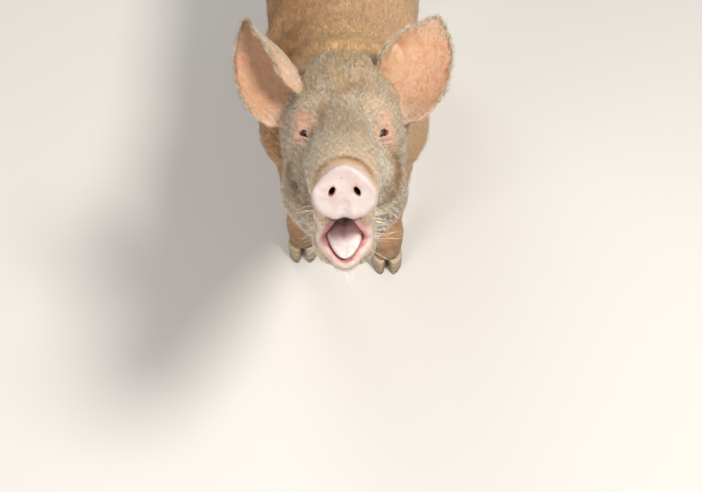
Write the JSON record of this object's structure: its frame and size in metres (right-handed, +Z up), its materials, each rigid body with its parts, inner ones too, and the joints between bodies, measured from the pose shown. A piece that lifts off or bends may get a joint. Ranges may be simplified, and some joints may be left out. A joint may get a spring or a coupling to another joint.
{
  "type": "pig",
  "caption": "Life-size young white domestic pig standing on four feet with its head raised and its mouth open, ears pricked, a still animal model.",
  "frame": {"origin": "middle of the bounding box's footprint, on the floor the claws stand on", "axes": "+Z up; the pig faces -Y; +X is the pig's left"},
  "size_m": [0.2856, 1.1378, 0.752],
  "materials": {
    "skin": "short-haired, matte",
    "ear_skin": "thin and matte",
    "snout_skin": "damp satin",
    "mouth_lining": "wet",
    "eye": "polished",
    "horn": "worn, matte",
    "bristle": "fine pale bristles"
  },
  "bodies": {
    "root": {"claw_fore_left_inner": "horn", "claw_fore_left_outer": "horn", "claw_fore_right_inner": "horn", "claw_fore_right_outer": "horn", "claw_hind_left_inner": "horn", "claw_hind_left_outer": "horn", "claw_hind_right_inner": "horn", "claw_hind_right_outer": "horn", "dewclaw_fore_left_inner": "horn", "dewclaw_fore_left_outer": "horn", "dewclaw_fore_right_inner": "horn", "dewclaw_fore_right_outer": "horn", "dewclaw_hind_left_inner": "horn", "dewclaw_hind_left_outer": "horn", "dewclaw_hind_right_inner": "horn", "dewclaw_hind_right_outer": "horn", "ear_left": "ear_skin", "ear_right": "ear_skin", "eye_left": "eye", "eye_right": "eye", "foreleg_left": "skin", "foreleg_right": "skin", "head": "skin", "hindleg_left": "skin", "hindleg_right": "skin", "lower_jaw": "skin", "neck": "skin", "snout_disc": "snout_skin", "tail": "skin", "tongue": "mouth_lining", "torso": "skin"}
  },
  "joints": []
}
